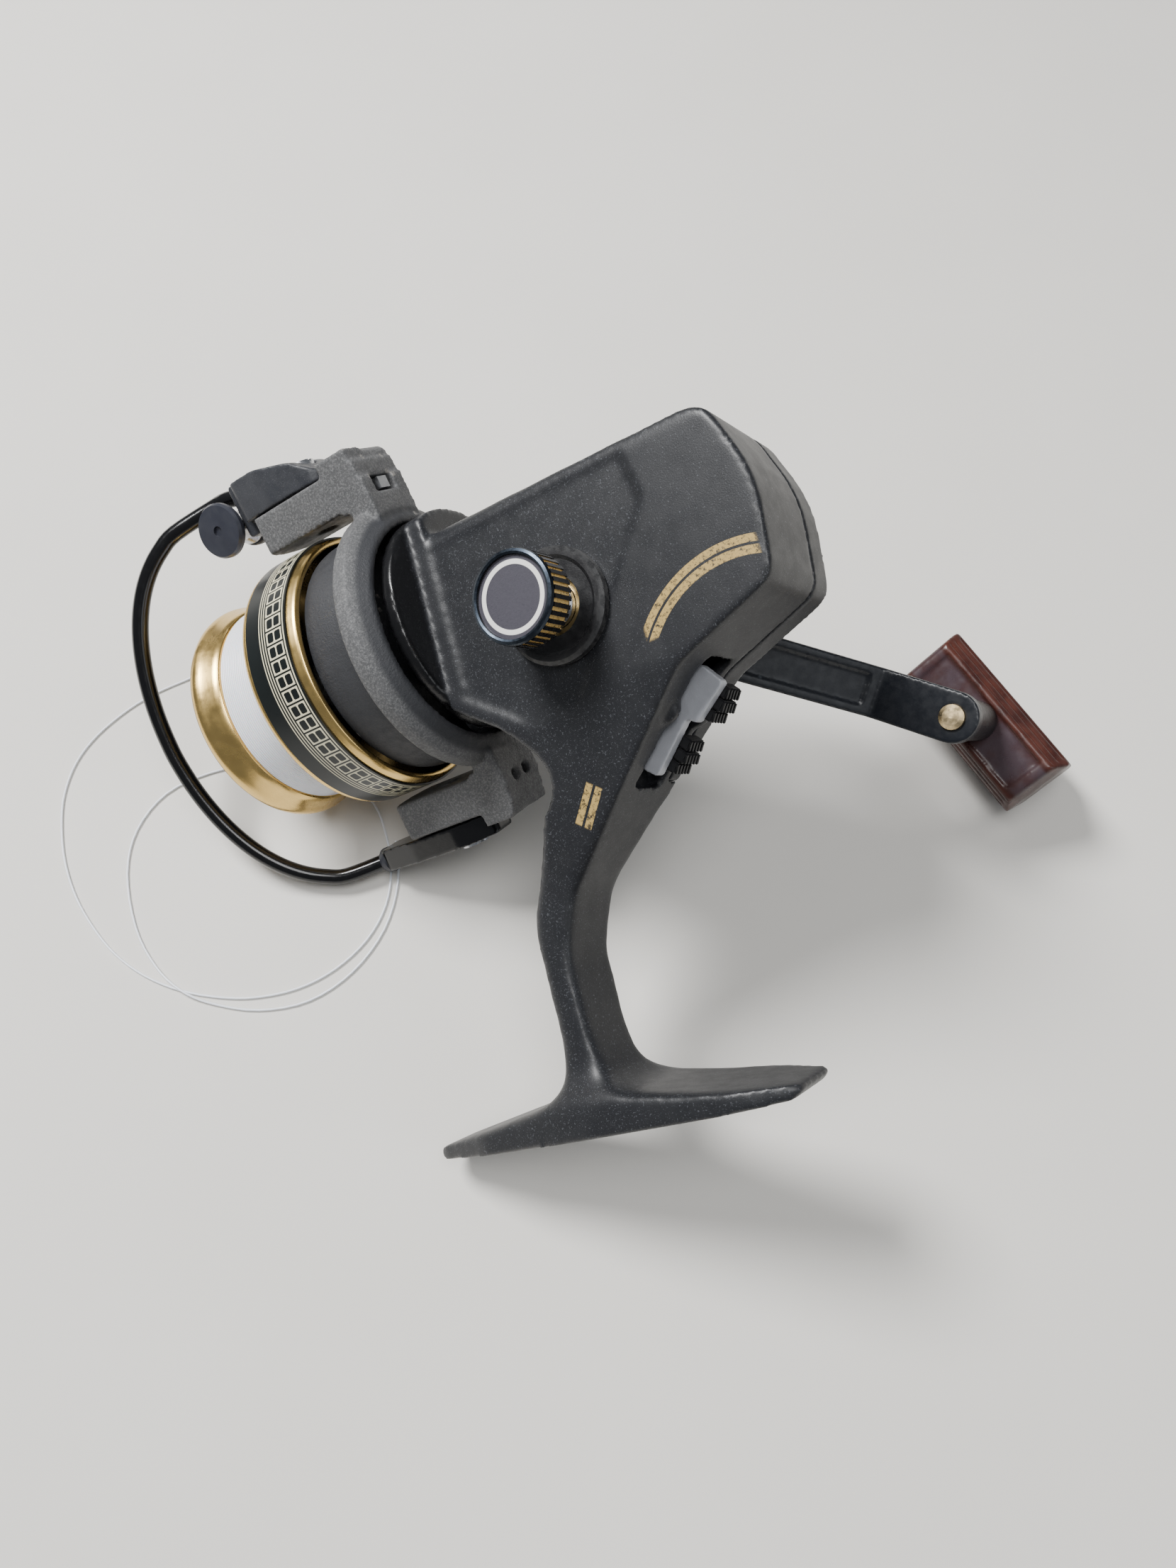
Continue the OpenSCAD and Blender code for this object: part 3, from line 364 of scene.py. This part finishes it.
def knob_look():
    """Dark red-brown plastic, with a painted mauve-grey sheen in its panel and lighter red along
    its ridges.
    """
    look = Look("knob_plastic", rough=0.34, specular=0.4)
    local = look.node("ShaderNodeMapping", Vector=look.place, Location=KNOB_AT,
                      Rotation=(0, KNOB_SPIN, 0))
    local.vector_type = "TEXTURE"
    _, deep, across = look.node("ShaderNodeSeparateXYZ", Vector=local.outputs[0]).outputs
    across = look.math("ABSOLUTE", across)
    base = look.mix(look.noise(0.35, 5.0), (0.020, 0.0060, 0.0050), (0.052, 0.0150, 0.0110))
    # painted sheen: patchy mauve-grey in the recessed panel
    panel = look.times(look.step(across, 3.3, 2.6), look.step(deep, 1.0, 0.7),
                       look.step(look.noise(0.22, 3.0), 0.3, 0.62, 0.25, 0.85))
    base = look.mix(panel, base, (0.050, 0.036, 0.044))
    ridge = look.times(look.between(across, 3.5, 6.0, 0.3), look.step(deep, 4.4, 3.4),
                       look.step(look.noise(0.35, 4.0), 0.3, 0.66), 0.7)
    base = look.mix(ridge, base, (0.070, 0.021, 0.014))
    look.color(look.mix(look.times(look.edges(0.53, 0.6), 0.3), base, (0.13, 0.045, 0.03)))
    look.rough(look.step(look.noise(0.5, 4.0), 0.3, 0.7, 0.26, 0.42))
    return look.bump(look.noise(1.6, 4.0), 0.2, 0.03).material


LOOKS = {
    "body_plastic": body_look(),
    "collar_plastic": cast_look("collar_plastic", (0.005, 0.005, 0.006), (0.010, 0.010, 0.011),
                                0.42, 4.0, 0.05, worn=(0.06, 0.06, 0.06)),
    "bronze": metal_look("bronze", (0.5, 0.36, 0.16), 0.35),
    "steel": metal_look("steel", (0.58, 0.59, 0.61), 0.28),
    "zinc": metal_look("zinc", (0.42, 0.43, 0.45), 0.42),
    "white_nylon": plain_look("white_nylon", (0.66, 0.62, 0.52), (0.74, 0.7, 0.6), 0.42),
    "cap_black": cap_look(),
    "cap_rim": metal_look("cap_rim", (0.040, 0.050, 0.065), 0.34),
    "cap_disc": disc_look(),
    "arm_paint": arm_look(),
    "rivet_brass": metal_look("rivet_brass", (0.84, 0.66, 0.38), 0.36),
    "knob_plastic": knob_look(),
    "lever_grey": cast_look("lever_grey", (0.32, 0.33, 0.36), (0.45, 0.46, 0.49), 0.42, 3.0, 0.05,
                            metal=0.35, worn=(0.7, 0.7, 0.72)),
    "pad_rubber": plain_look("pad_rubber", (0.004, 0.004, 0.005), (0.010, 0.010, 0.011), 0.5,
                             depth=0.05),
    "rotor_grey": rotor_look(),
    "bail_lever_paint": cast_look("bail_lever_paint", (0.018, 0.019, 0.023),
                                  (0.036, 0.038, 0.044), 0.45, 3.5, 0.06,
                                  worn=(0.20, 0.20, 0.21)),
    "bail_black": plain_look("bail_black", (0.0022, 0.0022, 0.0026), (0.0040, 0.0040, 0.0046),
                             0.17, 0.45, dust=0.0),
    "screw_dark": plain_look("screw_dark", (0.017, 0.018, 0.025), (0.030, 0.032, 0.042), 0.36),
    "spool_gold": gold_look(),
    "band_print": band_look(),
    "line_nylon": wound_look(),
    "felt": cast_look("felt", (0.08, 0.07, 0.06), (0.14, 0.12, 0.1), 0.85, 6.0, 0.1),
    "drag_plastic": plain_look("drag_plastic", (0.006, 0.006, 0.007), (0.013, 0.013, 0.014), 0.36),
}


# ---- building pieces -----------------------------------------------------------------
BODIES = frame["record"]["behaviour"]["bodies"]
BODY = {node: body for body, nodes in BODIES.items() for node in nodes}
SLOT = {row["node"]: row["material_slot"] for row in frame["record"]["subparts"]}


def place(piece, body, slot, *nodes):
    """Links a finished piece, gives it its material, hangs it on its body and hides the CAD nodes
    it stands in for.
    """
    bpy.context.scene.collection.objects.link(piece)
    piece.data.materials.clear()
    piece.data.materials.append(LOOKS[slot])
    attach(piece, body)
    if nodes:
        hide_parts(*nodes)


def finish_mesh(name, work, matrix, smooth_below=35):
    """A piece from a bmesh in millimetres, put in place by matrix."""
    # faces are turned outward before they shrink to metres: small ones come out wrong after
    bmesh.ops.recalc_face_normals(work, faces=work.faces)
    work.transform(matrix)
    for face in work.faces:
        face.smooth = True
    mesh = bpy.data.meshes.new(name)
    work.to_mesh(mesh)
    work.free()
    mesh.set_sharp_from_angle(angle=radians(smooth_below))
    return bpy.data.objects.new(name, mesh)


def turned(name, profile, matrix, steps, smooth_below=40):
    """A closed profile of (distance along the axis, radius), turned about the X axis."""
    work = bmesh.new()
    rings = []
    for k in range(steps):
        a = 2 * pi * k / steps
        rings.append([work.verts.new((x, r * cos(a), r * sin(a))) for x, r in profile])
    count = len(profile)
    for k in range(steps):
        here, after = rings[k], rings[(k + 1) % steps]
        for i in range(count):
            j = (i + 1) % count
            work.faces.new((here[i], here[j], after[j], after[i]))
    return finish_mesh(name, work, matrix, smooth_below)


def baked(piece):
    """The mesh of a piece with its modifiers applied."""
    bpy.context.view_layer.update()
    graph = bpy.context.evaluated_depsgraph_get()
    return bpy.data.meshes.new_from_object(piece.evaluated_get(graph))


def apply_modifiers(piece):
    mesh = baked(piece)
    piece.modifiers.clear()
    piece.data = mesh


def rounded_off(piece, rounds, share=None):
    """Smooths a dense mesh. share(point in reel millimetres) is a vertex's part of it."""
    smooth = piece.modifiers.new("soften", "SMOOTH")
    smooth.factor = 0.5
    smooth.iterations = rounds
    if share:
        group = piece.vertex_groups.new(name="share")
        back = LAY.inverted()
        steps = 20
        levels = {}
        for vertex in piece.data.vertices:
            level = round(steps * share(back @ vertex.co))
            levels.setdefault(level, []).append(vertex.index)
        for level, members in levels.items():
            group.add(members, level / steps, "REPLACE")
        smooth.vertex_group = "share"
    apply_modifiers(piece)


def soften(node, voxel, rounds, share=None, share_rounds=0, carve=None):
    """A CAD node with rounded edges in its place: a fine even mesh, then smoothed."""
    draft = bpy.data.objects.new(node + "_draft", frame["nodes"][node].data.copy())
    bpy.context.scene.collection.objects.link(draft)
    remesh = draft.modifiers.new("even", "REMESH")
    remesh.mode = "VOXEL"
    remesh.voxel_size = voxel * MM
    apply_modifiers(draft)
    if share:
        rounded_off(draft, share_rounds, share)
    rounded_off(draft, rounds)
    if carve:
        carve(draft.data)
    piece = bpy.data.objects.new(node + "_soft", draft.data)
    bpy.data.objects.remove(draft)
    for face in piece.data.polygons:
        face.use_smooth = True
    place(piece, BODY[node], SLOT[node], node)


def ramp(value, start, width):
    """0 at start, 1 at width above it, clamped."""
    return min(1.0, max(0.0, (value - start) / width))


def on_stem(spot):
    """The share of a point of the housing that belongs to its stem: 0 to 1."""
    root, foot = 25.0, 65.0
    return min(ramp(spot.z, root, 8), ramp(-spot.z, -foot, 3))


def knob_grooves(mesh):
    """Fine grooves along the knob's flared and tapering sides."""
    panel, end, pitch, depth = 3.8, 13.0, 1.5, 0.2
    back = KNOB.inverted()
    normals = [vertex.normal.copy() for vertex in mesh.vertices]
    for vertex, normal in zip(mesh.vertices, normals):
        spot = back @ vertex.co
        side = ramp(abs(spot.z), panel, 0.6) * ramp(-abs(spot.x), -end, 0.8)
        wave = max(0.0, cos(2 * pi * (spot.y + 0.45 * abs(spot.z)) / pitch))
        vertex.co -= normal * (depth * side * wave * wave * MM)


# ---- camera, light and floor ---------------------------------------------------------
def camera():
    """A close wide camera above the reel. Its place and turn are in reel axes."""
    eye = LAY @ Vector((-69.3, -133.5, 43.8))
    look = LAY.to_3x3() @ Vector((0.498, 0.855, -0.143))
    down = LAY.to_3x3() @ Vector((0.298, -0.014, 0.954))
    back = -look.normalized()
    up = (-down + down.dot(back) * back).normalized()
    right = up.cross(back)
    data = bpy.data.cameras.new("camera")
    data.lens = 26.04
    data.sensor_width = 36
    data.clip_start = 0.01
    made = bpy.data.objects.new("camera", data)
    made.matrix_world = Matrix.Translation(eye) @ Matrix((right, up, back)).transposed().to_4x4()
    bpy.context.scene.collection.objects.link(made)
    bpy.context.scene.camera = made


def lamp(name, spot, size, power, tint=(1, 1, 1)):
    """A round lamp that points at the reel."""
    data = bpy.data.lights.new(name, "AREA")
    data.shape = "DISK"
    data.size = size
    data.energy = power
    data.color = tint
    made = bpy.data.objects.new(name, data)
    made.location = spot
    made.rotation_mode = "QUATERNION"
    made.rotation_quaternion = (Vector(spot) - Vector((0, 0, 0.02))).to_track_quat("Z", "Y")
    bpy.context.scene.collection.objects.link(made)


def studio():
    """Three soft lamps, a pale sky and a plain pale floor."""
    lamp("key", (-0.35, 0.28, 0.62), 0.26, 10.5)
    lamp("fill", (0.55, -0.35, 0.45), 0.5, 1.0, (0.94, 0.97, 1.0))
    lamp("top", (0.05, -0.1, 0.8), 0.4, 3.6)
    world = bpy.data.worlds.new("studio")
    world.use_nodes = True
    world.node_tree.nodes["Background"].inputs["Color"].default_value = (0.86, 0.9, 0.96, 1)
    world.node_tree.nodes["Background"].inputs["Strength"].default_value = 0.24
    bpy.context.scene.world = world
    work = bmesh.new()
    bmesh.ops.create_grid(work, x_segments=8, y_segments=8, size=1.6)
    floor = finish_mesh("floor", work, Matrix.Translation((0, 0, -0.0001)))
    look = Look("floor_paper", rough=0.75, specular=0.3)
    look.color(look.mix(look.noise(0.02, 5.0), (0.62, 0.60, 0.56), (0.68, 0.66, 0.62)))
    look.bump(look.noise(1.2, 5.0), 0.15, 0.05)
    floor.data.materials.append(look.material)
    bpy.context.scene.collection.objects.link(floor)


# ---- free line -----------------------------------------------------------------------
# heights of its centre where it lies on the ground and where it crosses itself
LINE_Z, CROSS_Z = 0.22, 0.68
# millimetres in the part's frame, from the spool to the end under the bail
LINE_ROUTE = [
    (-48.3, 38.7, 15.3), (-49.9, 39.4, 14.1), (-51.4, 40.2, 12.9), (-53.1, 40.6, 11.7),
    (-56.4, 41.3, 8.9), (-61, 42, 5.3), (-66, 42, 2.4), (-71, 40.6, 0.65),
    (-75.6, 38.6, LINE_Z), (-80.7, 36.4, LINE_Z), (-85.7, 33.3, LINE_Z),
    (-90.8, 28.5, LINE_Z), (-94, 23.3, LINE_Z), (-95.4, 17.3, LINE_Z),
    (-95.2, 11.3, LINE_Z), (-93.9, 4.7, LINE_Z), (-91.4, -1.7, LINE_Z),
    (-87.9, -7.4, LINE_Z), (-83.9, -12.2, LINE_Z), (-78.8, -16.2, LINE_Z),
    (-72.8, -19.1, LINE_Z), (-66.6, -20.7, LINE_Z), (-60.8, -21.2, LINE_Z),
    (-54.2, -20.3, LINE_Z), (-48.2, -17.6, LINE_Z), (-43.1, -13.1, LINE_Z),
    (-40, -7.5, LINE_Z), (-39, -1.1, LINE_Z), (-39.8, 4.9, LINE_Z), (-41.8, 10.9, LINE_Z),
    (-46.6, 16.2, LINE_Z), (-53.6, 19.2, LINE_Z), (-62.1, 20.3, LINE_Z),
    (-70.2, 19.4, LINE_Z), (-77.7, 16, LINE_Z), (-82.2, 9.6, LINE_Z), (-83.2, 1.8, LINE_Z),
    (-81, -7.8, LINE_Z), (-77.2, -14.7, 0.32), (-72.8, -19.1, CROSS_Z),
    (-67.8, -21.6, 0.32), (-60.2, -23.3, LINE_Z), (-52.2, -22.4, LINE_Z),
    (-45.3, -18.2, LINE_Z), (-40.2, -11.5, LINE_Z), (-37.9, -3.5, LINE_Z),
    (-38.2, 3.9, LINE_Z)]


def smooth_path(points):
    """Points along a smooth curve through the given ones, in four steps from each."""
    steps = 4
    points = [Vector(p) for p in points]
    made = []
    for k in range(len(points) - 1):
        a, b = points[max(k - 1, 0)], points[k]
        c, d = points[k + 1], points[min(k + 2, len(points) - 1)]
        for s in range(steps):
            t = s / steps
            made.append((b * 2 + (c - a) * t + (a * 2 - b * 5 + c * 4 - d) * t * t
                         + (b * 3 - a - c * 3 + d) * t ** 3) / 2)
    return made + [points[-1]]


def tube(name, points, diameter, resolution):
    """A round tube along points that are already in the part's frame, in metres."""
    data = bpy.data.curves.new(name, "CURVE")
    data.dimensions = "3D"
    data.bevel_depth = diameter / 2
    data.bevel_resolution = resolution
    data.use_fill_caps = True
    spline = data.splines.new("POLY")
    spline.points.add(len(points) - 1)
    for point, spot in zip(spline.points, points):
        point.co = (*spot, 1)
    curve = bpy.data.objects.new(name + "_path", data)
    bpy.context.scene.collection.objects.link(curve)
    piece = bpy.data.objects.new(name, baked(curve))
    bpy.data.objects.remove(curve)
    for face in piece.data.polygons:
        face.use_smooth = True
    return piece


def nylon_look():
    """Clear line that lies loose."""
    look = Look("free_line", rough=0.3, specular=0.6)
    look.color(look.mix(look.noise(0.4), (0.92, 0.94, 0.97), (0.78, 0.82, 0.88)))
    look.shader.inputs["Transmission Weight"].default_value = 0.15
    return look.bump(look.noise(2.0), 0.1, 0.02).material


def free_line():
    path = [p * MM for p in smooth_path(LINE_ROUTE)]
    line = tube("free_line", path, LINE_D * MM, 2)
    place(line, "frame", "line_nylon", "loose_line")
    line.data.materials[0] = nylon_look()


# ---- bail ----------------------------------------------------------------------------
# in the axes of the rotor's arm: X along the shaft, Z across it
HOOD_X, WIRE_IN, WIRE_FOOT = 48.4, 32, -29.4
WIRE_ROOT, WIRE_REACH, WIRE_HALF = 54, 24, 31


def wire_point(degrees):
    """A point of the wire's bow."""
    a = radians(degrees)
    u = WIRE_REACH * max(0.0, sin(a)) ** 0.8
    rise = 1.2 if degrees < 90 else -1.8 * cos(a)
    lean = radians(BAIL_LEAN)
    return (WIRE_ROOT + u * cos(lean), u * sin(lean), -WIRE_HALF * cos(a) + rise)


def bail():
    """The wire from the bail end round to the roller's hood, its collar and both levers."""
    points = [(50.5, 0, WIRE_FOOT), (53.7, 0, WIRE_FOOT), (55, 0.2, WIRE_FOOT)]
    points += [wire_point(a) for a in range(14, 167, 8)]
    points += [(54, 0.4, 32.8), (51.6, 0.1, 32.8), (49.8, 0, 32.4), (HOOD_X + 0.5, 0, WIRE_IN),
               (HOOD_X + 0.02, 0, WIRE_IN)]
    wire = tube("bail_wire_round", [ARM @ p for p in smooth_path(points)], BAIL_D * MM, 6)
    place(wire, "bail", "bail_black", "bail_wire")
    foot = ARM @ Matrix.Translation((0, 0, WIRE_FOOT))
    collar = turned("bail_wire_collar", [(53.62, 1.32), (53.62, 1.9), (53.8, 2.1), (54.7, 2.1),
                                         (54.95, 1.9), (54.95, 1.32)], foot, 48)
    place(collar, "bail", "screw_dark")
    soften("bail_arm", 0.22, 5)
    soften("bail_end", 0.22, 6)


# ---- spool ---------------------------------------------------------------------------
def spool():
    """The gold spool, turned from one profile, and the line wound on it."""
    bore = 1.68
    skirt = [(48, bore), (48, 7.6), (45.4, 7.6), (45.4, 18.4), (36.0, 18.5), (35.8, 18.7),
             (35.8, 19.35), (35.95, 19.55), (36.4, 19.66), (36.9, 19.82), (BAND_X, 19.9),
             (45.4, 19.92), (45.4, 20.02), (45.55, SKIRT_R), (46.0, SKIRT_R), (46.3, 19.95),
             (46.55, 19.6), (46.7, 19.0), (46.7, 12)]
    lip = [(56.2, 12), (56.2, 16.2), (56.3, 16.4), (57.4, 16.75), (58.6, 17.15),
           (59.3, 17.45), (59.8, 17.7), (60.3, LIP_R), (60.9, 17.72), (61.35, 17.5),
           (61.62, 17.1), (61.68, 16.7), (61.5, 14.8), (61.2, 10.6), (61.0, 10.4), (54, 10.4),
           (54, bore)]
    place(turned("spool_turned", skirt + lip, SHAFT, 180, 50), "spool", "spool_gold", "spool")
    turns, low, high = 24, 46.74, 56.16
    pitch = (high - low) / turns
    winding = [(high, 12.02), (low, 12.02), (low, LINE_R - 0.1)]
    for k in range(turns):
        for part in (0.2, 0.5, 0.8):
            winding.append((low + (k + part) * pitch, LINE_R - 0.12 + 0.12 * sin(pi * part)))
    winding.append((high, LINE_R - 0.1))
    place(turned("wound_turns", winding, SHAFT, 144, 60), "spool", "line_nylon", "wound_line")


# ---- small pieces --------------------------------------------------------------------
def thumb_ribs():
    """Two ribbed rubber pads on the anti-reverse lever, each in three steps."""
    step, lean, ribs, rib_pitch = 1.75, radians(28), 5, 0.86
    work = bmesh.new()
    for x, z in ((-13.9, 17.9), (-6.9, 22.6)):
        pad = Matrix.Translation((x, 0, z)) @ Matrix.Rotation(radians(-40), 4, "Y")
        for k, rise in enumerate((-0.75, -0.35, -0.75)):
            block = pad @ Matrix.Translation(((k - 1) * step, 0.87, rise))
            block = block @ Matrix.Diagonal((1.6, 4.0, 1.7, 1))
            made = bmesh.ops.create_cube(work, size=1, matrix=block)
            # a dict keeps the edges in order, so that every run gives the same mesh
            edges = list(dict.fromkeys(e for v in made["verts"] for e in v.link_edges))
            bmesh.ops.bevel(work, geom=edges, offset=0.18, segments=2, affect="EDGES")
            for rib in range(ribs):
                along = -0.85 + rib * rib_pitch
                spot = pad @ Matrix.Translation(((k - 1) * step, along, rise + 0.9))
                spot = spot @ Matrix.Rotation(lean, 4, "Z") @ Matrix.Diagonal((1.5, 0.34, 0.3, 1))
                bmesh.ops.create_cube(work, size=1, matrix=spot)
    place(finish_mesh("thumb_ribs", work, LAY, 30), "lever", "pad_rubber", "thumb_pads")


def materials_of_cad():
    """Every CAD node takes the look of its slot."""
    for name, node in frame["nodes"].items():
        node.data.materials.clear()
        node.data.materials.append(LOOKS[SLOT[name]])


camera()
free_line()
studio()
materials_of_cad()
soften("housing", 0.42, 12, on_stem, 90)
soften("side_cover", 0.34, 6)
soften("rotor", 0.34, 4)
soften("handle_arm", 0.26, 9)
soften("handle_knob", 0.24, 16, carve=knob_grooves)
soften("reverse_lever", 0.16, 3)
bail()
spool()
thumb_ribs()

bpy.context.view_layer.update()
